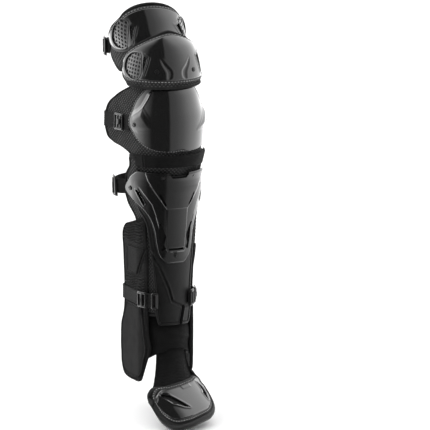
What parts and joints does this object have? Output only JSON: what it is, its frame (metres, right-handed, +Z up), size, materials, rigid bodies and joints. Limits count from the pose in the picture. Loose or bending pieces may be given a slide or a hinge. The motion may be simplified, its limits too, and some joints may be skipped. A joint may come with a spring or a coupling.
{
  "type": "baseball catcher leg guard",
  "caption": "Catcher's leg guard: padded liners with hard thigh, knee and shin shells, side flaps, ankle cuff, elastic straps with hooks and a toe cap.",
  "frame": {"origin": "centre of the knee on the axis of the leg that the guard is worn on", "axes": "+Z up along the leg, -Y to the front of the leg, +X to the right of someone who faces the guard"},
  "size_m": [0.1694, 0.254, 0.7054],
  "materials": {
    "gloss_shell": "gloss",
    "satin_shell": "satin",
    "moulded_trim": "satin",
    "padding": "woven mesh over foam",
    "knit_fabric": "ribbed knit",
    "smooth_panel": "smooth coated cloth",
    "webbing": "woven elastic webbing"
  },
  "bodies": {
    "root": {"thigh_pad": "padding", "upper_knee_pad": "padding", "shin_pad": "padding", "shin_panel": "padding", "toe_pad": "padding", "knee_pad": "knit_fabric", "knee_band": "knit_fabric", "ankle_cuff": "knit_fabric", "calf_flap_left": "knit_fabric", "calf_flap_right": "knit_fabric", "instep_tongue": "knit_fabric", "thigh_plate": "gloss_shell", "upper_knee_plate": "gloss_shell", "knee_plate": "gloss_shell", "toe_plate": "gloss_shell", "shin_plate": "satin_shell", "calf_patch_left": "smooth_panel", "calf_patch_right": "smooth_panel", "ankle_panel_left": "smooth_panel", "ankle_panel_right": "smooth_panel", "thigh_strap": "webbing", "knee_strap": "webbing", "calf_strap": "webbing", "ankle_strap": "webbing", "toe_strap": "webbing", "thigh_hook": "moulded_trim", "thigh_anchor": "moulded_trim", "knee_hook": "moulded_trim", "knee_anchor": "moulded_trim", "calf_hook": "moulded_trim", "calf_anchor": "moulded_trim", "ankle_hook": "moulded_trim", "ankle_anchor": "moulded_trim", "upper_knee_rivet_left": "moulded_trim", "upper_knee_rivet_right": "moulded_trim", "knee_rivet_left": "moulded_trim", "knee_rivet_right": "moulded_trim", "shin_wing_rivet_left": "moulded_trim", "shin_wing_rivet_right": "moulded_trim", "shin_top_rivet_left": "moulded_trim", "shin_top_rivet_right": "moulded_trim", "shin_bottom_rivet": "moulded_trim"}
  },
  "joints": []
}
